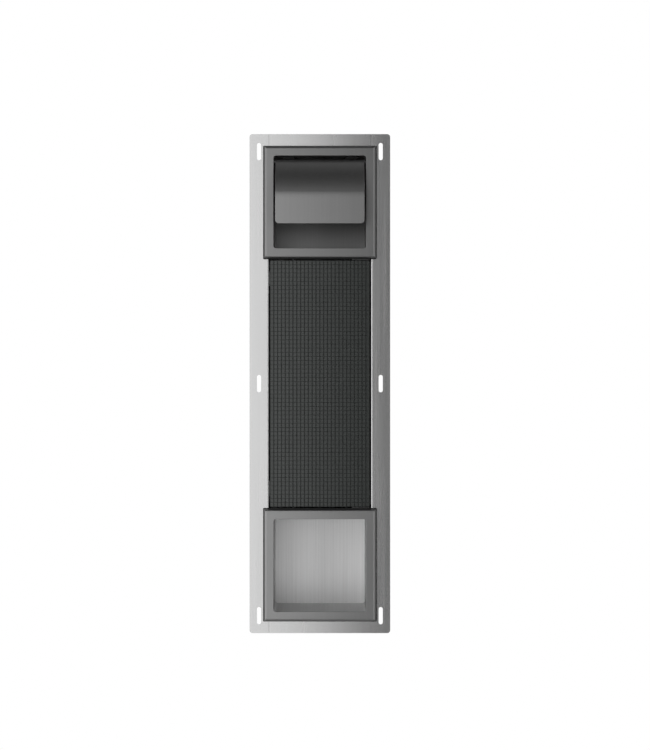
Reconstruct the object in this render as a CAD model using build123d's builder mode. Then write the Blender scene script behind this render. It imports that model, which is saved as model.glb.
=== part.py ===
from build123d import *
import os
from math import atan2, cos, degrees, hypot, radians, sin

# Recessed wall panel for a WC: a flanged steel body that is set in the wall before tiling, an upper
# niche with a lift-up flap over a sprung roll spindle, a touch-latched door whose board takes a tile,
# and an open lower niche.
#
# Millimetres. +X is to the right as seen from the room, +Y goes into the wall, +Z is up. The origin is
# the centre of the mounting flange's back face, so the wall's face is the plane Y = 0.

# Body of folded sheet
FLANGE_WIDTH = 186.0
FLANGE_HEIGHT = 660.0
FLANGE_CORNER = 4.0
SHEET = 1.5
FOLD = 0.3                    # inside radius of every fold
OPENING_WIDTH = 135.2         # between the side walls
BODY_DEPTH = 90.0             # back end of the walls
BODY_TOP = 305.5              # outside of the top wall; the bottom is its mirror image
SEAM_GROOVE = 0.1             # chamfer at each side of a weld seam

# Fixing slots in the flange
SLOT_WIDTH = 5.5
SLOT_LENGTH = 23.0
SLOT_X = 80.5
SLOT_Z = 307.0

# Niche frames, proud of the wall by a tile and its adhesive
FRAME_SIZE = 147.5
FRAME_BORDER = 12.75
FRAME_FRONT = -12.0
FRAME_PLATE = 2.0
FRAME_SKIRT = 2.0
FRAME_EDGE = 3.5              # rounding of the outer front edge
FRAME_LIP = 0.4               # rounding of the inner front edge
FRAME_Z = 239.5               # centre height of the upper frame; the lower one is its mirror image
SEAL = 1.0
SEAL_PROUD = 1.25
SEAL_WIDTH = 3.5

# Niche tubs
NICHE_SIZE = FRAME_SIZE - 2 * FRAME_BORDER
NICHE_CORNER = 3.5
NICHE_DEPTH = 100.0           # from the frame's front to the tub's back wall
TUB_WALL = 1.2

# Dividers between the niches and the door's compartment
DIVIDER_Z = 166.0             # the compartment's face of the upper divider
DIVIDER_LIP = 10.5            # height of its folded front lip

# Welded studs that hold each tub down on its divider
STUD_RADIUS = 2.0
STUD_LENGTH = 18.3
STUD_X = 35.0
STUD_Y = (30.0, 70.0)
STUD_CLEARANCE = 0.2
SPACER_RADIUS = 4.0
WASHER_RADIUS = 4.5
WASHER_THICKNESS = 0.8
NUT_ACROSS_FLATS = 7.0
NUT_HEIGHT = 3.2

# Roll flap
HINGE_Y = -5.0
HINGE_Z = 293.0
ROD_RADIUS = 2.0
RUNNING = 0.06                # radial clearance of a running fit
CURL_RADIUS = 3.25            # outside of the hinge curl
FLAP_WIDTH = 117.0
FLAP_SHEET = 1.2
FLAP_FRONT = -28.0
FLAP_BEND_Z = 242.0           # top of the upright lower part
FLAP_BEND = 40.0              # outside radius of the bend above it
FLAP_TURN = 14.0              # how far that bend turns, in degrees
FLAP_BOTTOM = 210.0
FLAP_CORNER = 5.0
FLAP_EDGE = 0.35
STOP_TAB_X = 42.0
STOP_TAB_WIDTH = 15.0
STOP_TAB_LENGTH = 10.0
STOP_TAB_SHEET = 1.6
BUSH_RADIUS = 3.0
BUSH_FLANGE_RADIUS = 4.0
BUSH_FLANGE = 1.4
BUSH_LENGTH = 3.6
CLIP = 0.8
ROD_TIP = 0.4                 # how far the rod shows beyond its clips

# Roll spindle
SPINDLE_Y = 30.0
SPINDLE_Z = 240.0
SEAT_RADIUS = 10.0
SEAT_THICKNESS = 3.0
SEAT_EDGE = 1.0
SOCKET_DEPTH = 2.2
PIN_RADIUS = 3.5
PIN_END_GAP = 0.2
SLEEVE_RADIUS = 7.0
SLEEVE_WALL = 1.4
SPINDLE_EDGE = 1.4
SLEEVE_END = -55.0            # outside of the sleeve's closed end
SLEEVE_MOUTH = 20.0
PLUNGER_TAIL = -15.0
PLUNGER_COLLAR = 5.0
SPINDLE_WIRE = 0.5
RIVET_RADIUS = 1.5
RIVET_HEAD = 1.0
RIVET_HEAD_RADIUS = 3.0
SEAT_RIVET_OFFSET = 6.8

# Door
DOOR_WIDTH = 132.0
DOOR_HEIGHT = 326.0
DOOR_FRONT = -0.2
BOARD = 2.2
TRAY_SHEET = 1.2
TRAY_DEPTH = 12.0
TRAY_CORNER = 1.0
PIVOT_X = 50.0
PIVOT_Y = 6.5
PIVOT_RADIUS = 2.0
PIVOT_LENGTH = 9.0
BRACKET = 2.0
BRACKET_CORNER = 2.0
BRACKET_X = (42.0, 67.0)
BRACKET_Y = (3.0, 28.0)
BRACKET_RIVET_X = (47.0, 61.0)
BRACKET_RIVET_Y = 22.0
DOOR_BUSH_RADIUS = 3.0
DOOR_BUSH_FLANGE_RADIUS = 4.5
DOOR_BUSH_FLANGE = 0.8
DOOR_BUSH_LENGTH = 3.0

# Door stops on the left wall
STOP_Z = 140.0
STOP_HEIGHT = 20.0
STOP_REACH = 12.0
STOP_FACE = 16.0              # depth of the stop's face
STOP_LEG = 18.0
BUMPER_GAP = 0.1
BUMPER_WIDTH = 6.0
BUMPER_HEIGHT = 12.0

# Touch latch on the left wall
LATCH_X = -58.0
LATCH_BODY_X = (-67.6, -50.0)
LATCH_BODY_Y = (16.0, 60.0)
LATCH_BODY_HALF_HEIGHT = 10.0
LATCH_BODY_EDGE = 2.0
LATCH_EAR = 3.0
LATCH_EAR_HALF_HEIGHT = 19.0
LATCH_EAR_Y = (24.0, 52.0)
LATCH_BORE_END = 56.0
LATCH_PLUNGER_RADIUS = 4.0
LATCH_PLUNGER_TAIL = 40.0
MAGNET_RADIUS = 3.4
MAGNET = 2.6
STRIKE = 1.5
STRIKE_X = (-64.0, -50.0)
STRIKE_HALF_HEIGHT = 12.0
STRIKE_GAP = 0.1
LATCH_WIRE = 0.5
LATCH_SPRING_RADIUS = 3.0
LATCH_SCREW_Z = 15.0
LATCH_SCREW_HEAD = 1.6
LATCH_SCREW_HEAD_RADIUS = 2.9

# Depths and sizes that follow
WALL_X = OPENING_WIDTH / 2
OUTER_FOLD = FOLD + SHEET
NICHE_HALF = NICHE_SIZE / 2
TUB_HALF = NICHE_HALF + TUB_WALL
TUB_FRONT = FRAME_FRONT + FRAME_PLATE
TUB_FLOOR_Y = FRAME_FRONT + NICHE_DEPTH
TUB_FOOT = FRAME_Z - TUB_HALF         # outside of the upper tub's floor
DOOR_TOP = DOOR_HEIGHT / 2
BOARD_BACK = DOOR_FRONT + BOARD
TRAY_FACE_BACK = BOARD_BACK + TRAY_SHEET
TRAY_BACK = BOARD_BACK + TRAY_DEPTH
STRIKE_BACK = TRAY_FACE_BACK + STRIKE
MAGNET_FRONT = STRIKE_BACK + STRIKE_GAP
UPPER, LOWER = 1, -1
LEFT, RIGHT = -1, 1


def facing(depth):
    """The plane that faces the room at this depth; its X and Y are the object's X and Z."""
    return Plane.XZ.offset(-depth)


def block(x, y, z, mode=Mode.ADD):
    """A box between two ends along each axis, in the current part."""
    with Locations(((x[0] + x[1]) / 2, (y[0] + y[1]) / 2, (z[0] + z[1]) / 2)):
        Box(abs(x[1] - x[0]), abs(y[1] - y[0]), abs(z[1] - z[0]), mode=mode)


def disc(axis, radius, ends, at, mode=Mode.ADD):
    """A cylinder along X, Y or Z between two ends, at two coordinates across its axis."""
    middle, length = (ends[0] + ends[1]) / 2, abs(ends[1] - ends[0])
    if axis == "X":
        place, turn = (middle, at[0], at[1]), (0, 90, 0)
    elif axis == "Y":
        place, turn = (at[0], middle, at[1]), (90, 0, 0)
    else:
        place, turn = (at[0], at[1], middle), (0, 0, 0)
    with Locations(place):
        Cylinder(radius, length, rotation=turn, mode=mode)


def side_sheet(side):
    """A full-height flange strip with its wall folded back into the wall opening; beyond the wall's
    two ends the strip is flat."""
    outer, inner = side * FLANGE_WIDTH / 2, side * WALL_X
    behind = inner + side * SHEET
    with BuildPart() as sheet:
        with BuildSketch(Plane.XY) as profile:
            with BuildLine():
                Polyline(
                    (outer, -SHEET), (inner, -SHEET), (inner, BODY_DEPTH),
                    (behind, BODY_DEPTH), (behind, 0), (outer, 0), close=True,
                )
            make_face()
            fillet(profile.vertices().sort_by_distance((inner, -SHEET))[0], OUTER_FOLD)
            fillet(profile.vertices().sort_by_distance((behind, 0))[0], FOLD)
        extrude(amount=FLANGE_HEIGHT / 2, both=True)
        for end in (UPPER, LOWER):
            beyond = (end * BODY_TOP, end * FLANGE_HEIGHT / 2)
            block((inner, behind + side * FOLD), (0, BODY_DEPTH), beyond, Mode.SUBTRACT)
            block((inner, behind + side * FOLD), (-SHEET, 0), beyond)
        corners = sheet.edges().filter_by(Axis.Y).group_by(Axis.X)[0 if side == LEFT else -1]
        fillet(corners, FLANGE_CORNER)
        with BuildSketch(facing(0)):
            with Locations(*((side * SLOT_X, z) for z in (-SLOT_Z, 0, SLOT_Z))):
                SlotOverall(SLOT_LENGTH, SLOT_WIDTH, rotation=90)
        extrude(amount=SHEET, mode=Mode.SUBTRACT)
        if side == LEFT:
            for z in (-LATCH_SCREW_Z, LATCH_SCREW_Z):
                disc("X", RIVET_RADIUS, (inner, behind), (sum(LATCH_EAR_Y) / 2, z), Mode.SUBTRACT)
    return sheet


def folded_bar(side, fold_z, tip_z):
    """A sheet that runs back into the wall at fold_z, with its front folded towards tip_z."""
    out = 1 if tip_z > fold_z else -1
    fold, back, tip = side * fold_z, side * (fold_z + out * SHEET), side * tip_z
    with BuildPart() as bar:
        with BuildSketch(Plane.YZ) as profile:
            with BuildLine():
                Polyline(
                    (-SHEET, tip), (0, tip), (0, back), (BODY_DEPTH, back),
                    (BODY_DEPTH, fold), (-SHEET, fold), close=True,
                )
            make_face()
            fillet(profile.vertices().sort_by_distance((-SHEET, fold))[0], OUTER_FOLD)
            fillet(profile.vertices().sort_by_distance((0, back))[0], FOLD)
        extrude(amount=WALL_X, both=True)
    return bar


def end_cap(side):
    """The flange's end strip with the end wall folded back; a fine groove marks each weld seam."""
    bar = folded_bar(side, BODY_TOP - SHEET, FLANGE_HEIGHT / 2)
    with bar:
        front = bar.faces().sort_by(Axis.Y)[0]
        chamfer(front.edges().filter_by(Axis.Z), SEAM_GROOVE)
    return bar


def divider(side):
    """The shelf between a niche and the door's compartment, with a front lip under the frame."""
    bar = folded_bar(side, DIVIDER_Z, DIVIDER_Z + DIVIDER_LIP)
    web = (side * DIVIDER_Z, side * (DIVIDER_Z + SHEET))
    with bar:
        for x in (-STUD_X, STUD_X):
            for y in STUD_Y:
                disc("Z", STUD_RADIUS + STUD_CLEARANCE, web, (x, y), Mode.SUBTRACT)
        for x in BRACKET_RIVET_X:
            disc("Z", RIVET_RADIUS, web, (x, BRACKET_RIVET_Y), Mode.SUBTRACT)
    return bar


def frame(side):
    """A square trim frame: a front plate with a rounded edge and a skirt folded back to the seal."""
    back = -SHEET - SEAL
    inside = FRAME_SIZE - 2 * FRAME_SKIRT
    with BuildPart() as trim:
        with BuildSketch(facing(back)):
            with Locations((0, side * FRAME_Z)):
                Rectangle(FRAME_SIZE, FRAME_SIZE)
        extrude(amount=back - FRAME_FRONT)
        fillet(trim.faces().sort_by(Axis.Y)[0].edges(), FRAME_EDGE)
        with BuildSketch(facing(back)):
            with Locations((0, side * FRAME_Z)):
                Rectangle(inside, inside)
        extrude(amount=back - TUB_FRONT, mode=Mode.SUBTRACT)
        with BuildSketch(facing(back)):
            with Locations((0, side * FRAME_Z)):
                RectangleRounded(NICHE_SIZE, NICHE_SIZE, NICHE_CORNER)
        extrude(amount=back - FRAME_FRONT, mode=Mode.SUBTRACT)
        fillet(trim.faces().sort_by(Axis.Y)[0].inner_wires()[0].edges(), FRAME_LIP)
    return trim


def frame_seal(side):
    """A flat rubber gasket under the frame's skirt, proud of it all round."""
    outer = FRAME_SIZE + 2 * SEAL_PROUD
    inner = outer - 2 * SEAL_WIDTH
    with BuildPart() as seal:
        with BuildSketch(facing(-SHEET)):
            with Locations((0, side * FRAME_Z)):
                RectangleRounded(outer, outer, SEAL_PROUD)
                Rectangle(inner, inner, mode=Mode.SUBTRACT)
        extrude(amount=SEAL)
    return seal


def tub(side):
    """A deep-drawn niche tub, open to the room."""
    with BuildPart() as pan:
        with BuildSketch(facing(TUB_FLOOR_Y + TUB_WALL)):
            with Locations((0, side * FRAME_Z)):
                RectangleRounded(2 * TUB_HALF, 2 * TUB_HALF, NICHE_CORNER + TUB_WALL)
        extrude(amount=TUB_FLOOR_Y + TUB_WALL - TUB_FRONT)
        with BuildSketch(facing(TUB_FLOOR_Y)):
            with Locations((0, side * FRAME_Z)):
                RectangleRounded(NICHE_SIZE, NICHE_SIZE, NICHE_CORNER)
        extrude(amount=TUB_FLOOR_Y - TUB_FRONT, mode=Mode.SUBTRACT)
    return pan


def seat_rivet_places():
    """Where each spindle seat is riveted: in front of and behind its socket."""
    return [(SPINDLE_Y + offset, SPINDLE_Z) for offset in (-SEAT_RIVET_OFFSET, SEAT_RIVET_OFFSET)]


def flap_bush(side):
    """A flanged bush pushed through the tub's side wall; it carries one end of the hinge rod."""
    wall = side * NICHE_HALF
    with BuildPart() as bush:
        disc("X", BUSH_FLANGE_RADIUS, (wall - side * BUSH_FLANGE, wall), (HINGE_Y, HINGE_Z))
        disc("X", BUSH_RADIUS, (wall, wall + side * (BUSH_LENGTH - BUSH_FLANGE)), (HINGE_Y, HINGE_Z))
        disc(
            "X", ROD_RADIUS + RUNNING, (wall - side * BUSH_FLANGE, wall + side * BUSH_LENGTH),
            (HINGE_Y, HINGE_Z), Mode.SUBTRACT,
        )
    return bush


def spindle_seat(side):
    """A round seat on the tub's side wall, with the socket that an end of the spindle springs into."""
    wall = side * NICHE_HALF
    face = wall - side * SEAT_THICKNESS
    with BuildPart() as seat:
        disc("X", SEAT_RADIUS, (face, wall), (SPINDLE_Y, SPINDLE_Z))
        fillet(seat.faces().sort_by(Axis.X)[0 if side == RIGHT else -1].edges(), SEAT_EDGE)
        disc(
            "X", PIN_RADIUS + RUNNING, (face, face + side * SOCKET_DEPTH),
            (SPINDLE_Y, SPINDLE_Z), Mode.SUBTRACT,
        )
        for place in seat_rivet_places():
            disc("X", RIVET_RADIUS, (face, wall), place, Mode.SUBTRACT)
    return seat


def door_bracket(side):
    """The plate on a divider that holds one of the door's pivot pins."""
    near = side * DIVIDER_Z
    far = near - side * BRACKET
    with BuildPart() as bracket:
        block(BRACKET_X, BRACKET_Y, (far, near))
        fillet(bracket.edges().filter_by(Axis.Z), BRACKET_CORNER)
        disc("Z", PIVOT_RADIUS, (far, near), (PIVOT_X, PIVOT_Y), Mode.SUBTRACT)
        for x in BRACKET_RIVET_X:
            disc("Z", RIVET_RADIUS, (far, near), (x, BRACKET_RIVET_Y), Mode.SUBTRACT)
    return bracket


def door_bush(side):
    """A flanged bush in the tray's end fold, which turns on a pivot pin."""
    edge = side * DOOR_TOP
    with BuildPart() as bush:
        disc("Z", DOOR_BUSH_FLANGE_RADIUS, (edge, edge + side * DOOR_BUSH_FLANGE), (PIVOT_X, PIVOT_Y))
        disc("Z", DOOR_BUSH_RADIUS, (edge - side * DOOR_BUSH_LENGTH, edge), (PIVOT_X, PIVOT_Y))
        disc(
            "Z", PIVOT_RADIUS + RUNNING,
            (edge - side * DOOR_BUSH_LENGTH, edge + side * DOOR_BUSH_FLANGE),
            (PIVOT_X, PIVOT_Y), Mode.SUBTRACT,
        )
    return bush


def coil_spring(start, turns, length, radius, wire, direction):
    """A compression spring of round wire from a start point along a direction."""
    axis = Vector(direction)
    with BuildPart() as spring:
        with BuildLine():
            path = Helix(
                pitch=(length - 2 * wire) / turns, height=length - 2 * wire, radius=radius,
                center=Vector(start) + axis * wire, direction=direction,
            )
        with BuildSketch(Plane(origin=path @ 0, z_dir=path % 0)):
            Circle(wire)
        sweep(path=path, is_frenet=True)
    return spring


# ---------------------------------------------------------------- body sheets
left_side_sheet = side_sheet(LEFT)
right_side_sheet = side_sheet(RIGHT)
top_end_cap = end_cap(UPPER)
bottom_end_cap = end_cap(LOWER)
upper_divider = divider(UPPER)
lower_divider = divider(LOWER)

with BuildPart() as back_sheet:
    block(
        (-WALL_X - SHEET, WALL_X + SHEET), (BODY_DEPTH, BODY_DEPTH + SHEET), (-BODY_TOP, BODY_TOP),
    )

# ---------------------------------------------------------------- frames and tubs
upper_frame = frame(UPPER)
lower_frame = frame(LOWER)
upper_frame_seal = frame_seal(UPPER)
lower_frame_seal = frame_seal(LOWER)
lower_tub = tub(LOWER)
upper_tub = tub(UPPER)
with upper_tub:
    for wall in ((-TUB_HALF, -NICHE_HALF), (NICHE_HALF, TUB_HALF)):
        disc("X", BUSH_RADIUS, wall, (HINGE_Y, HINGE_Z), Mode.SUBTRACT)
        for place in seat_rivet_places():
            disc("X", RIVET_RADIUS, wall, place, Mode.SUBTRACT)

STUD_PLACES = [(x, y) for x in (-STUD_X, STUD_X) for y in STUD_Y]
SPACER_ENDS = (DIVIDER_Z + SHEET, TUB_FOOT)

with BuildPart() as tub_studs:
    for side in (UPPER, LOWER):
        for place in STUD_PLACES:
            disc("Z", STUD_RADIUS, (side * TUB_FOOT, side * (TUB_FOOT - STUD_LENGTH)), place)

with BuildPart() as tub_spacers:
    for side in (UPPER, LOWER):
        for place in STUD_PLACES:
            ends = [side * z for z in SPACER_ENDS]
            disc("Z", SPACER_RADIUS, ends, place)
            disc("Z", STUD_RADIUS + RUNNING, ends, place, Mode.SUBTRACT)

with BuildPart() as tub_washers:
    for side in (UPPER, LOWER):
        for place in STUD_PLACES:
            ends = [side * DIVIDER_Z, side * (DIVIDER_Z - WASHER_THICKNESS)]
            disc("Z", WASHER_RADIUS, ends, place)
            disc("Z", STUD_RADIUS + RUNNING, ends, place, Mode.SUBTRACT)

with BuildPart() as tub_nuts:
    for side in (UPPER, LOWER):
        seat_z = side * (DIVIDER_Z - WASHER_THICKNESS)
        with BuildSketch(Plane.XY.offset(seat_z)):
            with Locations(*STUD_PLACES):
                RegularPolygon(NUT_ACROSS_FLATS / 2, 6, major_radius=False)
                Circle(STUD_RADIUS + RUNNING, mode=Mode.SUBTRACT)
        extrude(amount=-side * NUT_HEIGHT)

# ---------------------------------------------------------------- roll flap
flap_bush_left = flap_bush(LEFT)
flap_bush_right = flap_bush(RIGHT)
BUSH_END = NICHE_HALF + BUSH_LENGTH - BUSH_FLANGE
ROD_END = BUSH_END + CLIP + ROD_TIP

with BuildPart() as flap_hinge_rod:
    disc("X", ROD_RADIUS, (-ROD_END, ROD_END), (HINGE_Y, HINGE_Z))

with BuildPart() as flap_rod_clips:
    for side in (LEFT, RIGHT):
        ends = (side * BUSH_END, side * (BUSH_END + CLIP))
        disc("X", BUSH_FLANGE_RADIUS, ends, (HINGE_Y, HINGE_Z))
        disc("X", ROD_RADIUS, ends, (HINGE_Y, HINGE_Z), Mode.SUBTRACT)

# Above the bend the flap runs on in one long arc that meets the outside of the hinge curl in line. The
# arc's radius and turn follow from where the bend ends and which way it points there.
LEAN = radians(FLAP_TURN)
BEND_END_Y = FLAP_FRONT + FLAP_BEND * (1 - cos(LEAN))
BEND_END_Z = FLAP_BEND_Z + FLAP_BEND * sin(LEAN)
RISE = HINGE_Z - BEND_END_Z
REACH = HINGE_Y - BEND_END_Y
TO_CURL = hypot(REACH, RISE)
INWARD = RISE * sin(LEAN) - REACH * cos(LEAN)
TOP_ARC = (TO_CURL**2 - CURL_RADIUS**2) / -(2 * (INWARD + CURL_RADIUS))
ARC_CENTRE_Y = BEND_END_Y + TOP_ARC * cos(LEAN)
ARC_CENTRE_Z = BEND_END_Z - TOP_ARC * sin(LEAN)
TOP_TURN = degrees(atan2(HINGE_Z - ARC_CENTRE_Z, ARC_CENTRE_Y - HINGE_Y)) - FLAP_TURN
STOP_TAB_TOP = HINGE_Z + CURL_RADIUS
STOP_PAD_TOP = FRAME_Z + NICHE_HALF - BUMPER_GAP
STOP_TAB_END = HINGE_Y + STOP_TAB_LENGTH

with BuildPart() as roll_flap:
    with BuildSketch(Plane.YZ):
        with BuildLine():
            upright = Line((FLAP_FRONT, FLAP_BOTTOM), (FLAP_FRONT, FLAP_BEND_Z))
            bend = JernArc(upright @ 1, upright % 1, FLAP_BEND, -FLAP_TURN)
            JernArc(bend @ 1, bend % 1, TOP_ARC, -TOP_TURN)
            offset(amount=-FLAP_SHEET, side=Side.RIGHT)
        make_face()
    extrude(amount=FLAP_WIDTH / 2, both=True)
    fillet(roll_flap.edges().filter_by(Axis.Y).group_by(Axis.Z)[0], FLAP_CORNER)
    front = roll_flap.faces().filter_by(Axis.Y).sort_by(Axis.Y)[0]
    top_edge = front.edges().sort_by(Axis.Z)[-1]
    fillet([edge for edge in front.edges() if edge != top_edge], FLAP_EDGE)
    disc("X", CURL_RADIUS, (-FLAP_WIDTH / 2, FLAP_WIDTH / 2), (HINGE_Y, HINGE_Z))
    for x in (-STOP_TAB_X, STOP_TAB_X):
        block(
            (x - STOP_TAB_WIDTH / 2, x + STOP_TAB_WIDTH / 2), (HINGE_Y, STOP_TAB_END),
            (STOP_TAB_TOP - STOP_TAB_SHEET, STOP_TAB_TOP),
        )
    disc(
        "X", ROD_RADIUS + RUNNING, (-FLAP_WIDTH / 2, FLAP_WIDTH / 2), (HINGE_Y, HINGE_Z),
        Mode.SUBTRACT,
    )

with BuildPart() as flap_stop_pads:
    for x in (-STOP_TAB_X, STOP_TAB_X):
        block(
            (x - STOP_TAB_WIDTH / 2, x + STOP_TAB_WIDTH / 2),
            (STOP_TAB_END - STOP_TAB_LENGTH / 2, STOP_TAB_END),
            (STOP_TAB_TOP, STOP_PAD_TOP),
        )

# ---------------------------------------------------------------- roll spindle
spindle_seat_left = spindle_seat(LEFT)
spindle_seat_right = spindle_seat(RIGHT)
SPINDLE_AXIS = (SPINDLE_Y, SPINDLE_Z)
PIN_END = NICHE_HALF - SEAT_THICKNESS + SOCKET_DEPTH - PIN_END_GAP
SLEEVE_BORE = SLEEVE_RADIUS - SLEEVE_WALL
PLUNGER_RADIUS = SLEEVE_BORE - RUNNING

with BuildPart() as seat_rivets:
    for side in (LEFT, RIGHT):
        seat_face = side * (NICHE_HALF - SEAT_THICKNESS)
        for place in seat_rivet_places():
            disc("X", RIVET_RADIUS, (seat_face, side * TUB_HALF), place)
            disc("X", RIVET_HEAD_RADIUS, (side * TUB_HALF, side * (TUB_HALF + RIVET_HEAD)), place)

with BuildPart() as spindle_sleeve:
    disc("X", SLEEVE_RADIUS, (SLEEVE_END, SLEEVE_MOUTH), SPINDLE_AXIS)
    fillet(spindle_sleeve.faces().sort_by(Axis.X)[0].edges(), SPINDLE_EDGE)
    disc("X", SLEEVE_BORE, (SLEEVE_END + SLEEVE_WALL, SLEEVE_MOUTH), SPINDLE_AXIS, Mode.SUBTRACT)
    disc("X", PIN_RADIUS, (-PIN_END, SLEEVE_END), SPINDLE_AXIS)

with BuildPart() as spindle_plunger:
    disc("X", PLUNGER_RADIUS, (PLUNGER_TAIL, -SLEEVE_END - PLUNGER_COLLAR), SPINDLE_AXIS)
    disc("X", SLEEVE_RADIUS, (-SLEEVE_END - PLUNGER_COLLAR, -SLEEVE_END), SPINDLE_AXIS)
    fillet(spindle_plunger.faces().sort_by(Axis.X)[-1].edges(), SPINDLE_EDGE)
    disc("X", PIN_RADIUS, (-SLEEVE_END, PIN_END), SPINDLE_AXIS)

spindle_spring = coil_spring(
    start=(SLEEVE_END + SLEEVE_WALL, SPINDLE_Y, SPINDLE_Z), turns=12,
    length=PLUNGER_TAIL - SLEEVE_END - SLEEVE_WALL, radius=SLEEVE_BORE - 2 * SPINDLE_WIRE,
    wire=SPINDLE_WIRE, direction=(1, 0, 0),
)

# ---------------------------------------------------------------- door
door_bracket_upper = door_bracket(UPPER)
door_bracket_lower = door_bracket(LOWER)
door_bush_upper = door_bush(UPPER)
door_bush_lower = door_bush(LOWER)

with BuildPart() as door_pivot_pins:
    for side in (UPPER, LOWER):
        ends = (side * DIVIDER_Z, side * (DIVIDER_Z - PIVOT_LENGTH))
        disc("Z", PIVOT_RADIUS, ends, (PIVOT_X, PIVOT_Y))

with BuildPart() as bracket_rivets:
    for side in (UPPER, LOWER):
        web_back = side * (DIVIDER_Z + SHEET)
        for x in BRACKET_RIVET_X:
            place = (x, BRACKET_RIVET_Y)
            disc("Z", RIVET_RADIUS, (side * (DIVIDER_Z - BRACKET), web_back), place)
            disc("Z", RIVET_HEAD_RADIUS, (web_back, web_back + side * RIVET_HEAD), place)

with BuildPart() as door_tray:
    with BuildSketch(facing(TRAY_BACK)):
        RectangleRounded(DOOR_WIDTH, DOOR_HEIGHT, TRAY_CORNER)
    extrude(amount=TRAY_DEPTH)
    with BuildSketch(facing(TRAY_BACK)):
        Rectangle(DOOR_WIDTH - 2 * TRAY_SHEET, DOOR_HEIGHT - 2 * TRAY_SHEET)
    extrude(amount=TRAY_DEPTH - TRAY_SHEET, mode=Mode.SUBTRACT)
    for side in (UPPER, LOWER):
        fold = (side * (DOOR_TOP - TRAY_SHEET), side * DOOR_TOP)
        disc("Z", DOOR_BUSH_RADIUS, fold, (PIVOT_X, PIVOT_Y), Mode.SUBTRACT)

with BuildPart() as tile_backing_board:
    with BuildSketch(facing(BOARD_BACK)):
        RectangleRounded(DOOR_WIDTH, DOOR_HEIGHT, TRAY_CORNER)
    extrude(amount=BOARD)

with BuildPart() as strike_plate:
    block(STRIKE_X, (TRAY_FACE_BACK, STRIKE_BACK), (-STRIKE_HALF_HEIGHT, STRIKE_HALF_HEIGHT))

# ---------------------------------------------------------------- door stops
with BuildPart() as door_stop_angles:
    for z in (-STOP_Z, STOP_Z):
        height = (z - STOP_HEIGHT / 2, z + STOP_HEIGHT / 2)
        block((-WALL_X, -WALL_X + STOP_REACH), (STOP_FACE, STOP_FACE + SHEET), height)
        block((-WALL_X, -WALL_X + SHEET), (STOP_FACE + SHEET, STOP_FACE + STOP_LEG), height)

with BuildPart() as door_bumpers:
    for z in (-STOP_Z, STOP_Z):
        block(
            (-WALL_X + SHEET, -WALL_X + SHEET + BUMPER_WIDTH), (TRAY_BACK + BUMPER_GAP, STOP_FACE),
            (z - BUMPER_HEIGHT / 2, z + BUMPER_HEIGHT / 2),
        )

# ---------------------------------------------------------------- touch latch
LATCH_AXIS = (LATCH_X, 0)
LATCH_SCREW_Y = sum(LATCH_EAR_Y) / 2

with BuildPart() as latch_body:
    block(LATCH_BODY_X, LATCH_BODY_Y, (-LATCH_BODY_HALF_HEIGHT, LATCH_BODY_HALF_HEIGHT))
    fillet(latch_body.edges().filter_by(Axis.Y).group_by(Axis.X)[-1], LATCH_BODY_EDGE)
    block(
        (LATCH_BODY_X[0], LATCH_BODY_X[0] + LATCH_EAR), LATCH_EAR_Y,
        (-LATCH_EAR_HALF_HEIGHT, LATCH_EAR_HALF_HEIGHT),
    )
    disc(
        "Y", LATCH_PLUNGER_RADIUS + RUNNING, (LATCH_BODY_Y[0], LATCH_BORE_END), LATCH_AXIS,
        Mode.SUBTRACT,
    )
    for z in (-LATCH_SCREW_Z, LATCH_SCREW_Z):
        ear = (LATCH_BODY_X[0], LATCH_BODY_X[0] + LATCH_EAR)
        disc("X", RIVET_RADIUS, ear, (LATCH_SCREW_Y, z), Mode.SUBTRACT)

with BuildPart() as latch_screws:
    for z in (-LATCH_SCREW_Z, LATCH_SCREW_Z):
        seat_x = LATCH_BODY_X[0] + LATCH_EAR
        disc("X", RIVET_RADIUS, (-WALL_X - SHEET, seat_x), (LATCH_SCREW_Y, z))
        disc("X", LATCH_SCREW_HEAD_RADIUS, (seat_x, seat_x + LATCH_SCREW_HEAD), (LATCH_SCREW_Y, z))

with BuildPart() as latch_plunger:
    disc("Y", LATCH_PLUNGER_RADIUS, (MAGNET_FRONT + MAGNET, LATCH_PLUNGER_TAIL), LATCH_AXIS)

with BuildPart() as latch_magnet:
    disc("Y", MAGNET_RADIUS, (MAGNET_FRONT, MAGNET_FRONT + MAGNET), LATCH_AXIS)

latch_spring = coil_spring(
    start=(LATCH_X, LATCH_PLUNGER_TAIL, 0), turns=7, length=LATCH_BORE_END - LATCH_PLUNGER_TAIL,
    radius=LATCH_SPRING_RADIUS, wire=LATCH_WIRE, direction=(0, 1, 0),
)

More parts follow.
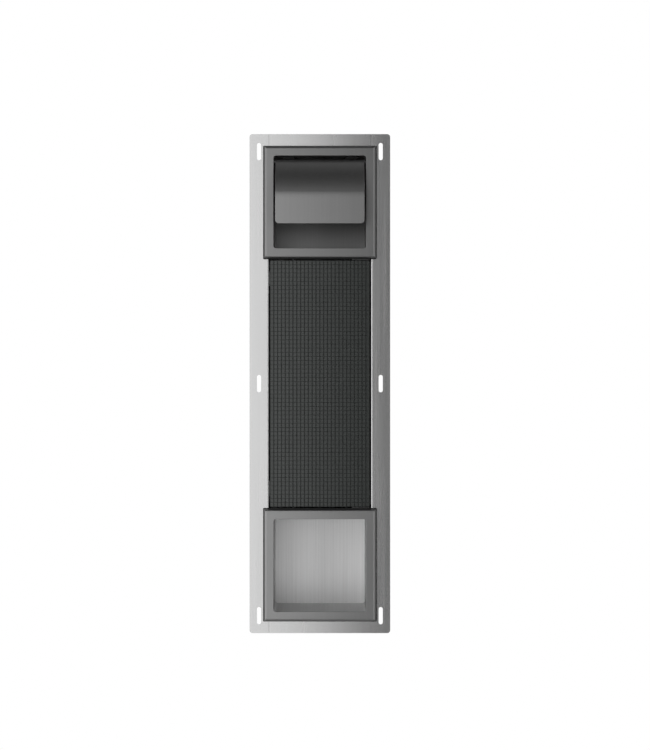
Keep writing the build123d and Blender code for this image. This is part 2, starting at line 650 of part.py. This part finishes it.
# ---------------------------------------------------------------- output
PIECES = {
    "left_side_sheet": left_side_sheet,
    "right_side_sheet": right_side_sheet,
    "top_end_cap": top_end_cap,
    "bottom_end_cap": bottom_end_cap,
    "back_sheet": back_sheet,
    "upper_divider": upper_divider,
    "lower_divider": lower_divider,
    "upper_frame": upper_frame,
    "lower_frame": lower_frame,
    "upper_frame_seal": upper_frame_seal,
    "lower_frame_seal": lower_frame_seal,
    "upper_tub": upper_tub,
    "lower_tub": lower_tub,
    "tub_studs": tub_studs,
    "tub_spacers": tub_spacers,
    "tub_washers": tub_washers,
    "tub_nuts": tub_nuts,
    "flap_bush_left": flap_bush_left,
    "flap_bush_right": flap_bush_right,
    "flap_hinge_rod": flap_hinge_rod,
    "flap_rod_clips": flap_rod_clips,
    "roll_flap": roll_flap,
    "flap_stop_pads": flap_stop_pads,
    "spindle_seat_left": spindle_seat_left,
    "spindle_seat_right": spindle_seat_right,
    "seat_rivets": seat_rivets,
    "spindle_sleeve": spindle_sleeve,
    "spindle_plunger": spindle_plunger,
    "spindle_spring": spindle_spring,
    "door_bracket_upper": door_bracket_upper,
    "door_bracket_lower": door_bracket_lower,
    "door_pivot_pins": door_pivot_pins,
    "bracket_rivets": bracket_rivets,
    "door_tray": door_tray,
    "tile_backing_board": tile_backing_board,
    "door_bush_upper": door_bush_upper,
    "door_bush_lower": door_bush_lower,
    "strike_plate": strike_plate,
    "door_stop_angles": door_stop_angles,
    "door_bumpers": door_bumpers,
    "latch_body": latch_body,
    "latch_screws": latch_screws,
    "latch_plunger": latch_plunger,
    "latch_magnet": latch_magnet,
    "latch_spring": latch_spring,
}

os.makedirs("parts", exist_ok=True)
for name, piece in PIECES.items():
    piece.part.label = name
    export_step(piece.part, f"parts/{name}.step")
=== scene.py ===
from math import pi

import bmesh
import bpy
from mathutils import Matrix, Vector


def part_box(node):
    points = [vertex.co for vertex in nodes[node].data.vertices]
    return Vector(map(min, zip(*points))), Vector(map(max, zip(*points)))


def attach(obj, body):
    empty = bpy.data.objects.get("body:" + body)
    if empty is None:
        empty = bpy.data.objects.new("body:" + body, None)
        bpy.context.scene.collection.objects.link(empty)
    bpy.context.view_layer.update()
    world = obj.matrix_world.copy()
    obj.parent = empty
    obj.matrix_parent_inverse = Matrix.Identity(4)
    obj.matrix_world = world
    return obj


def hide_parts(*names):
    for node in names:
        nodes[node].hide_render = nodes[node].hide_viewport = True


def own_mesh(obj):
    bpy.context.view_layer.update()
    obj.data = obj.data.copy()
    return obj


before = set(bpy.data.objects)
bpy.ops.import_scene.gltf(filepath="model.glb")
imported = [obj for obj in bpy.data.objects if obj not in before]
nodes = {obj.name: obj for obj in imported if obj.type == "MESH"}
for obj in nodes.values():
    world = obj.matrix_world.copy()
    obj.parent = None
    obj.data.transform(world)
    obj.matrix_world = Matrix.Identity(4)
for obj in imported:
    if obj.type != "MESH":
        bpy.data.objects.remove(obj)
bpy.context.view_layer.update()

# Looks of a recessed washroom panel: a brushed steel flange and body, two gunmetal niche frames, a
# roll niche with a lift-up flap, a door faced with a tile-bonding board, and an open niche.
#
# Metres, in the frame of the CAD model: +X right as seen from the room, +Y into the wall, +Z up.

MM = 0.001

# Camera, level and square to the panel
CAMERA_DISTANCE = 2.6
CAMERA_X = 6.8 * MM
CAMERA_Z = 11.4 * MM
VIEW_HEIGHT = 0.988           # height of the view at the niche frames' front
SENSOR = 36.0                 # length of its sensor in millimetres, which stands upright
VIEW_END = 20.0

# Room
BACKGROUND = 1.0
AMBIENT = 0.035               # light from the surround in front of the panel
REAR_LIGHT = 0.5              # mean light from the surround behind it
REAR_SLANT = (0.3, 0.0, 0.6)  # which way that gets brighter, and how much
FLOOR_HEIGHT = -0.75
FLOOR_SIZE = 1.3
FLOOR_CELLS = 24
FLOOR_GREYS = (0.78, 0.82)
FLOOR_CLOUDS = 3.0            # noise cells to the metre

# Soft lights: name, place, the point each faces, its width and height, and its power in watts
LIGHTS = (
    ("key_card", (-0.595, -0.6, -0.014), (-0.595, 0.0, -0.014), (0.8, 1.172), 3.7),
    ("key_edge_card", (-0.085, -0.6, -0.014), (-0.085, 0.0, -0.014), (0.22, 1.172), 0.69),
    ("left_card", (-1.2, -0.25, 0.0), (0.0, -0.05, 0.0), (0.9, 1.8), 3.5),
    ("right_card", (1.6, -1.6, 0.0), (0.0, 0.0, 0.0), (1.2, 2.4), 13.5),
    ("high_card", (0.0, -2.2, 1.7), (0.0, 0.0, 0.0), (2.0, 1.0), 0.8),
    ("top_card", (0.0, -0.15, 1.1), (0.0, -0.05, 0.0), (1.2, 0.5), 0.42),
)

NOISE_LOW, NOISE_HIGH = 0.3, 0.7    # the factors between which most of a noise lies

# Brushing: noise cells to the metre across the grain, and how they run along it
STREAK_CELLS = 420.0
SCRATCH_CELLS = 1500.0
CLOUD_CELLS = 16.0
CLOUD_SQUEEZE = 0.35          # places are squeezed along the grain by this, for its soft clouds,
STREAK_SQUEEZE = 0.012        # and by this for its streaks and scratches
SCRATCH_DEPTH = 0.001 * MM
BRUSHED_SPREAD = 0.015        # how far roughness varies either way
ANISOTROPY = 0.5              # how far brushing spreads a reflection across its grain
GRAIN_TURN = 0.25             # turns from the tangent to the way that a reflection spreads
FACE_LIMIT = 0.8              # how square to an axis a face is, to count as facing along it
SEAM_WIDTH = 0.35 * MM        # darkened edge of an end strip beside its weld seams
SEAM_SHADE = 0.5

# Plating and moulding
PATCH_CELLS = 700.0
MOTTLE_CELLS = 60.0
PLATED_GRIT_CELLS = 4000.0
GRIT_DEPTH = 0.02 * MM
PLATED_SPREAD = 0.06          # how far roughness varies either way
MOULDED_SPREAD = 0.05
WHITE = (1.0, 1.0, 1.0)
BOARD_TINT = (0.86, 1.0, 0.93)

# Door board: raised squares that hold the tile adhesive
PAD_COLUMNS = 26
PAD_ROWS = 59
PAD_GROOVE_X = 1.4 * MM       # groove between two squares of a row, at their faces
PAD_GROOVE_Z = 0.45 * MM      # groove between two rows
PAD_SLOPE = 0.2 * MM          # width of the sloping side of a square
PAD_HEIGHT = 0.9 * MM
FACE_SLOT, GROOVE_SLOT = 0, 1


# ---------------------------------------------------------------- shader helpers

MIX_SOCKETS = {"VECTOR": (4, 5, 1), "RGBA": (6, 7, 2)}     # a Mix node's two inputs and its output


def add(tree, kind, settings=None, inputs=None):
    """A shader node with its settings, and its inputs given as values or as other nodes' outputs."""
    made = tree.nodes.new(kind)
    for name, value in (settings or {}).items():
        setattr(made, name, value)
    for key, value in (inputs or {}).items():
        socket = made.inputs[key]
        if isinstance(value, bpy.types.NodeSocket):
            tree.links.new(value, socket)
        else:
            socket.default_value = value
    return made


def shader_of(name):
    """A new material: itself, its node tree and its Principled shader."""
    material = bpy.data.materials.new(name)
    material.use_nodes = True
    tree = material.node_tree
    tree.nodes.clear()
    output = tree.nodes.new("ShaderNodeOutputMaterial")
    shader = tree.nodes.new("ShaderNodeBsdfPrincipled")
    tree.links.new(shader.outputs["BSDF"], output.inputs["Surface"])
    return material, tree, shader


def place_of(tree):
    """The point on the piece, in metres, that moves with the piece."""
    return add(tree, "ShaderNodeTexCoord").outputs["Object"]


def stretched(tree, place, scale):
    """A place scaled along each axis. Noise there runs longer along an axis with a small scale."""
    settings = {"vector_type": "POINT"}
    return add(tree, "ShaderNodeMapping", settings, {"Vector": place, "Scale": scale}).outputs["Vector"]


def noise(tree, place, scale, detail=4.0, roughness=0.5):
    """Noise of a number of cells to the metre, as a factor from 0 to 1."""
    inputs = {"Vector": place, "Scale": scale, "Detail": detail, "Roughness": roughness}
    return add(tree, "ShaderNodeTexNoise", None, inputs).outputs["Fac"]


def between(tree, factor, low, high):
    """A factor of noise, spread about one half, as a number from low to high."""
    inputs = {"Value": factor, "From Min": NOISE_LOW, "From Max": NOISE_HIGH,
              "To Min": low, "To Max": high}
    return add(tree, "ShaderNodeMapRange", None, inputs).outputs["Result"]


def mixed(tree, kind, factor, first, second, blend_type="MIX"):
    """A mix of two colours, kind RGBA, or of two vectors, kind VECTOR."""
    first_input, second_input, output = MIX_SOCKETS[kind]
    settings = {"data_type": kind, "blend_type": blend_type}
    inputs = {0: factor, first_input: first, second_input: second}
    return add(tree, "ShaderNodeMix", settings, inputs).outputs[output]


def grey(level, tint=WHITE):
    """A colour of one level in all three channels, each times its part of a tint."""
    return (level * tint[0], level * tint[1], level * tint[2], 1.0)


def bump(tree, height, depth, strength=1.0, below=None):
    """A normal roughened by a height factor that stands for a depth in metres."""
    inputs = {"Height": height, "Distance": depth, "Strength": strength}
    if below is not None:
        inputs["Normal"] = below
    return add(tree, "ShaderNodeBump", None, inputs).outputs["Normal"]


# ---------------------------------------------------------------- materials

def brushed_steel(name, level, contrast, roughness, painted_side_shade=1.0, seam=None):
    """Brushed sheet steel. Its grain runs up an upright face and into the wall on a level one, and
    spreads a reflection across the grain. Faces that don't face the room get painted shade: their
    colour is made darker by the side factor. A seam is how far from the middle a weld has darkened the
    steel."""
    material, tree, shader = shader_of(name)
    place = place_of(tree)
    facing = add(tree, "ShaderNodeTexCoord").outputs["Normal"]
    parts = add(tree, "ShaderNodeSeparateXYZ", None, {"Vector": facing}).outputs
    rise = add(tree, "ShaderNodeMath", {"operation": "ABSOLUTE"}, {0: parts["Z"]}).outputs["Value"]
    level_face = add(tree, "ShaderNodeMath", {"operation": "GREATER_THAN"}, {0: rise, 1: FACE_LIMIT})
    level_face = level_face.outputs["Value"]
    room_face = add(tree, "ShaderNodeMath", {"operation": "LESS_THAN"}, {0: parts["Y"], 1: -FACE_LIMIT})
    room_face = room_face.outputs["Value"]

    upright = stretched(tree, place, (1.0, 1.0, STREAK_SQUEEZE))
    lying = stretched(tree, place, (1.0, STREAK_SQUEEZE, 1.0))
    along = mixed(tree, "VECTOR", level_face, upright, lying)
    streaks = noise(tree, along, STREAK_CELLS, detail=3.0)
    scratches = noise(tree, along, SCRATCH_CELLS, detail=2.0)
    clouds = noise(tree, stretched(tree, place, (1.0, 1.0, CLOUD_SQUEEZE)), CLOUD_CELLS, detail=2.0)

    dull = mixed(tree, "RGBA", between(tree, streaks, 0.0, 1.0),
                 grey(level * (1 - contrast)), grey(level * (1 + contrast)))
    shaded = mixed(tree, "RGBA", between(tree, clouds, 0.0, 1.0),
                   grey(1 - contrast / 2), grey(1.0))
    # Painted shade: faces that don't face the room take the darker colour.
    shade_painted_sides = mixed(tree, "RGBA", room_face, grey(painted_side_shade), grey(1.0))
    colour = mixed(tree, "RGBA", 1.0, mixed(tree, "RGBA", 1.0, dull, shaded, "MULTIPLY"),
                   shade_painted_sides, "MULTIPLY")
    if seam is not None:
        across = add(tree, "ShaderNodeSeparateXYZ", None, {"Vector": place}).outputs["X"]
        away = add(tree, "ShaderNodeMath", {"operation": "ABSOLUTE"}, {0: across}).outputs["Value"]
        welded = add(tree, "ShaderNodeMath", {"operation": "GREATER_THAN"}, {0: away, 1: seam})
        colour = mixed(tree, "RGBA", welded.outputs["Value"], colour, grey(level * SEAM_SHADE))
    tree.links.new(colour, shader.inputs["Base Color"])

    rough = between(tree, streaks, roughness - BRUSHED_SPREAD, roughness + BRUSHED_SPREAD)
    tree.links.new(rough, shader.inputs["Roughness"])
    normal = bump(tree, streaks, SCRATCH_DEPTH, 0.5, bump(tree, scratches, SCRATCH_DEPTH, 0.5))
    tree.links.new(normal, shader.inputs["Normal"])
    grain_way = mixed(tree, "VECTOR", level_face, (0.0, 0.0, 1.0), (0.0, 1.0, 0.0))
    settings = {"vector_type": "VECTOR", "convert_from": "OBJECT", "convert_to": "WORLD"}
    turned = add(tree, "ShaderNodeVectorTransform", settings, {"Vector": grain_way})
    tree.links.new(turned.outputs["Vector"], shader.inputs["Tangent"])
    shader.inputs["Anisotropic"].default_value = ANISOTROPY
    shader.inputs["Anisotropic Rotation"].default_value = GRAIN_TURN
    shader.inputs["Metallic"].default_value = 1.0
    return material


def plated_steel(name, level, tint, roughness, mottle):
    """Zinc plated or drawn steel: small dull patches on an even metal."""
    material, tree, shader = shader_of(name)
    place = place_of(tree)
    patches = noise(tree, place, PATCH_CELLS, detail=3.0)
    grit = noise(tree, place, PLATED_GRIT_CELLS, detail=2.0)
    colour = mixed(tree, "RGBA", between(tree, patches, 0.0, 1.0),
                   grey(level * (1 - mottle), tint), grey(level, tint))
    tree.links.new(colour, shader.inputs["Base Color"])
    rough = between(tree, patches, roughness - PLATED_SPREAD, roughness + PLATED_SPREAD)
    tree.links.new(rough, shader.inputs["Roughness"])
    tree.links.new(bump(tree, grit, GRIT_DEPTH, 0.4), shader.inputs["Normal"])
    shader.inputs["Metallic"].default_value = 1.0
    return material


def moulded(name, level, tint, roughness, grit_cells, grit_depth, mottle=0.15, gloss=0.5):
    """Moulded plastic or rubber with a fine spark-eroded texture."""
    material, tree, shader = shader_of(name)
    place = place_of(tree)
    patches = noise(tree, place, MOTTLE_CELLS, detail=4.0)
    grit = noise(tree, place, grit_cells, detail=3.0)
    colour = mixed(tree, "RGBA", between(tree, patches, 0.0, 1.0),
                   grey(level * (1 - mottle), tint), grey(level * (1 + mottle), tint))
    tree.links.new(colour, shader.inputs["Base Color"])
    rough = between(tree, grit, roughness - MOULDED_SPREAD, roughness + MOULDED_SPREAD)
    tree.links.new(rough, shader.inputs["Roughness"])
    tree.links.new(bump(tree, grit, grit_depth, 0.6), shader.inputs["Normal"])
    shader.inputs["Specular IOR Level"].default_value = gloss
    return material


steel = brushed_steel("flange_brushed_steel", level=0.72, contrast=0.022, roughness=0.26)
end_steel = brushed_steel("end_strip_brushed_steel", level=0.72, contrast=0.022, roughness=0.26,
                          seam=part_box("top_end_cap")[1].x - SEAM_WIDTH)
# Painted shade: the lower tub's side walls and floor are coloured darker than its back wall.
niche_steel = brushed_steel("niche_brushed_steel", level=0.95, contrast=0.06, roughness=0.48,
                            painted_side_shade=0.46)
# The two frames are one gunmetal finish in lit and shaded copies: the upper frame's colour is painted
# darker and the lower frame's lighter, for how light falls on each. Both also get painted shade on their
# faces that don't face the room.
upper_frame_shaded_steel = brushed_steel("upper_frame_gunmetal_painted_shade", level=0.276, contrast=0.02, roughness=0.36,
                                  painted_side_shade=0.6)
lower_frame_lit_steel = brushed_steel("lower_frame_gunmetal_painted_light", level=0.328, contrast=0.02, roughness=0.36,
                                  painted_side_shade=0.6)
inner_steel = brushed_steel("inner_gunmetal", level=0.235, contrast=0.03, roughness=0.36)
flap_steel = brushed_steel("flap_gunmetal", level=0.318, contrast=0.02, roughness=0.38)
board_plastic = moulded("board_plastic", level=0.034, tint=BOARD_TINT, roughness=0.33,
                        grit_cells=1500.0, grit_depth=GRIT_DEPTH, mottle=0.08, gloss=0.8)
# Painted shade: the grooves between the board's squares are coloured darker than the squares' faces.
groove_plastic_painted_shade = moulded("groove_plastic_painted_shade", level=0.027, tint=BOARD_TINT, roughness=0.5,
                         grit_cells=1500.0, grit_depth=GRIT_DEPTH, mottle=0.08)
nylon = moulded("nylon", level=0.03, tint=WHITE, roughness=0.45, grit_cells=2500.0, grit_depth=GRIT_DEPTH)
rubber = moulded("rubber", level=0.012, tint=WHITE, roughness=0.8, grit_cells=2200.0,
                 grit_depth=0.05 * MM)
zinc = plated_steel("zinc_plate", level=0.6, tint=(1.0, 1.0, 0.97), roughness=0.36, mottle=0.2)
black_zinc = plated_steel("black_zinc_plate", level=0.16, tint=(1.0, 1.0, 1.04), roughness=0.4, mottle=0.2)
spring_wire = plated_steel("spring_wire", level=0.36, tint=(1.0, 1.0, 1.03), roughness=0.3, mottle=0.12)
nickel = plated_steel("nickel_plate", level=0.66, tint=(1.0, 0.98, 0.94), roughness=0.18, mottle=0.06)

FINISHES = (
    (steel, ("left_side_sheet", "right_side_sheet", "back_sheet", "door_tray")),
    (end_steel, ("top_end_cap", "bottom_end_cap")),
    (upper_frame_shaded_steel, ("upper_frame",)),
    (lower_frame_lit_steel, ("lower_frame",)),
    (inner_steel, ("upper_tub", "upper_divider", "lower_divider", "flap_hinge_rod", "door_stop_angles",
                   "door_bracket_upper", "door_bracket_lower")),
    (flap_steel, ("roll_flap",)),
    (niche_steel, ("lower_tub", "spindle_sleeve")),
    (rubber, ("upper_frame_seal", "lower_frame_seal", "flap_stop_pads", "door_bumpers")),
    (nylon, ("flap_bush_left", "flap_bush_right", "spindle_seat_left", "spindle_seat_right",
             "flap_rod_clips", "spindle_plunger", "door_bush_upper", "door_bush_lower", "latch_body",
             "latch_plunger")),
    (zinc, ("seat_rivets", "bracket_rivets", "door_pivot_pins", "strike_plate", "latch_screws")),
    (black_zinc, ("tub_studs", "tub_spacers", "tub_washers", "tub_nuts")),
    (spring_wire, ("spindle_spring", "latch_spring")),
    (nickel, ("latch_magnet",)),
)
for finish, names in FINISHES:
    for name in names:
        for slot in nodes[name].material_slots:
            slot.material = finish


# ---------------------------------------------------------------- door board

def pad_stations(low, high, count, groove):
    """Where the lines of a row of squares lie along one side: each place, and how high the squares are
    there, from 0 in the groove to 1 on a square's face."""
    pitch = (high - low) / count
    places = [(low, 0.0)]
    for index in range(count):
        left = low + index * pitch + groove / 2
        right = low + (index + 1) * pitch - groove / 2
        places += [(left - PAD_SLOPE, 0.0), (left, 1.0), (right, 1.0), (right + PAD_SLOPE, 0.0)]
    return places + [(high, 0.0)]


def padded_board(name, low, high, face_material, groove_material):
    """A closed board with rows of raised squares on its front."""
    columns = pad_stations(low.x, high.x, PAD_COLUMNS, PAD_GROOVE_X)
    rows = pad_stations(low.z, high.z, PAD_ROWS, PAD_GROOVE_Z)
    mesh = bmesh.new()
    grid = [[mesh.verts.new((x, low.y + PAD_HEIGHT * (1 - min(raised_x, raised_z)), z))
             for x, raised_x in columns] for z, raised_z in rows]
    for below, above in zip(grid, grid[1:]):
        for corners in zip(below, below[1:], above[1:], above):
            face = mesh.faces.new(corners)
            raised = all(corner.co.y == low.y for corner in corners)
            face.material_index = FACE_SLOT if raised else GROOVE_SLOT
    rim = [e for e in mesh.edges if e.is_boundary]
    skirt = bmesh.ops.extrude_edge_only(mesh, edges=rim)["geom"]
    for vertex in (item for item in skirt if isinstance(item, bmesh.types.BMVert)):
        vertex.co.y = high.y
    bmesh.ops.contextual_create(mesh, geom=[e for e in mesh.edges if e.is_boundary])
    bmesh.ops.recalc_face_normals(mesh, faces=mesh.faces)
    data = bpy.data.meshes.new(name)
    mesh.to_mesh(data)
    mesh.free()
    data.materials.append(face_material)
    data.materials.append(groove_material)
    made = bpy.data.objects.new(name, data)
    bpy.context.scene.collection.objects.link(made)
    return made


board = padded_board("padded_tile_board", *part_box("tile_backing_board"), board_plastic, groove_plastic_painted_shade)
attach(board, "door")
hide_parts("tile_backing_board")


# ---------------------------------------------------------------- springs

def shorten(name):
    """Give a spring its own copy of its mesh; it isn't shortened here."""
    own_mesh(nodes[name])


shorten("spindle_spring")
shorten("latch_spring")


# ---------------------------------------------------------------- floor, light and camera

def floor():
    """A small pale floor, well below the panel."""
    material, tree, shader = shader_of("pale_floor")
    cloud = noise(tree, place_of(tree), FLOOR_CLOUDS, detail=3.0)
    dark, pale = FLOOR_GREYS
    colour = mixed(tree, "RGBA", between(tree, cloud, 0.0, 1.0), grey(dark), grey(pale))
    tree.links.new(colour, shader.inputs["Base Color"])
    shader.inputs["Roughness"].default_value = 0.7
    mesh = bmesh.new()
    bmesh.ops.create_grid(mesh, x_segments=FLOOR_CELLS, y_segments=FLOOR_CELLS, size=FLOOR_SIZE / 2)
    data = bpy.data.meshes.new("floor")
    mesh.to_mesh(data)
    mesh.free()
    data.materials.append(material)
    made = bpy.data.objects.new("floor", data)
    made.location.z = FLOOR_HEIGHT
    bpy.context.scene.collection.objects.link(made)


def card(name, place, aim, size, power):
    """A soft rectangular light at a place, facing a point, that the camera doesn't see."""
    data = bpy.data.lights.new(name, "AREA")
    data.shape = "RECTANGLE"
    data.size, data.size_y = size
    data.energy = power
    made = bpy.data.objects.new(name, data)
    made.location = place
    made.rotation_euler = (Vector(aim) - Vector(place)).to_track_quat("-Z", "Y").to_euler()
    made.visible_camera = False
    bpy.context.scene.collection.objects.link(made)


def room():
    """A white surround as the camera sees it. As light it is dim, and brighter behind the panel."""
    world = bpy.data.worlds.new("room")
    bpy.context.scene.world = world
    world.use_nodes = True
    tree = world.node_tree
    tree.nodes.clear()
    seen = add(tree, "ShaderNodeLightPath").outputs["Is Camera Ray"]
    white = add(tree, "ShaderNodeBackground", None, {"Color": grey(1.0), "Strength": BACKGROUND})
    way = add(tree, "ShaderNodeTexCoord").outputs["Generated"]
    rearward = add(tree, "ShaderNodeSeparateXYZ", None, {"Vector": way}).outputs["Y"]
    slant = add(tree, "ShaderNodeVectorMath", {"operation": "DOT_PRODUCT"}, {0: way, 1: REAR_SLANT})
    rear = add(tree, "ShaderNodeMath", {"operation": "MULTIPLY_ADD"},
               {0: slant.outputs["Value"], 1: REAR_LIGHT, 2: REAR_LIGHT})
    spread = {"Value": rearward, "From Min": 0.0, "From Max": 0.5, "To Min": AMBIENT,
              "To Max": rear.outputs["Value"]}
    strength = add(tree, "ShaderNodeMapRange", None, spread).outputs["Result"]
    dim = add(tree, "ShaderNodeBackground", None, {"Color": grey(1.0), "Strength": strength})
    both = add(tree, "ShaderNodeMixShader", None,
               {0: seen, 1: dim.outputs["Background"], 2: white.outputs["Background"]})
    output = tree.nodes.new("ShaderNodeOutputWorld")
    tree.links.new(both.outputs["Shader"], output.inputs["Surface"])


def camera():
    """The camera that the scene is seen with."""
    data = bpy.data.cameras.new("camera")
    data.sensor_width = SENSOR
    data.lens = SENSOR * CAMERA_DISTANCE / VIEW_HEIGHT
    data.clip_end = VIEW_END
    made = bpy.data.objects.new("camera", data)
    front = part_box("upper_frame")[0].y
    made.location = (CAMERA_X, front - CAMERA_DISTANCE, CAMERA_Z)
    made.rotation_euler = (pi / 2, 0, 0)
    bpy.context.scene.collection.objects.link(made)
    bpy.context.scene.camera = made


floor()
for light in LIGHTS:
    card(*light)
room()
camera()
bpy.context.scene.view_settings.view_transform = "Standard"
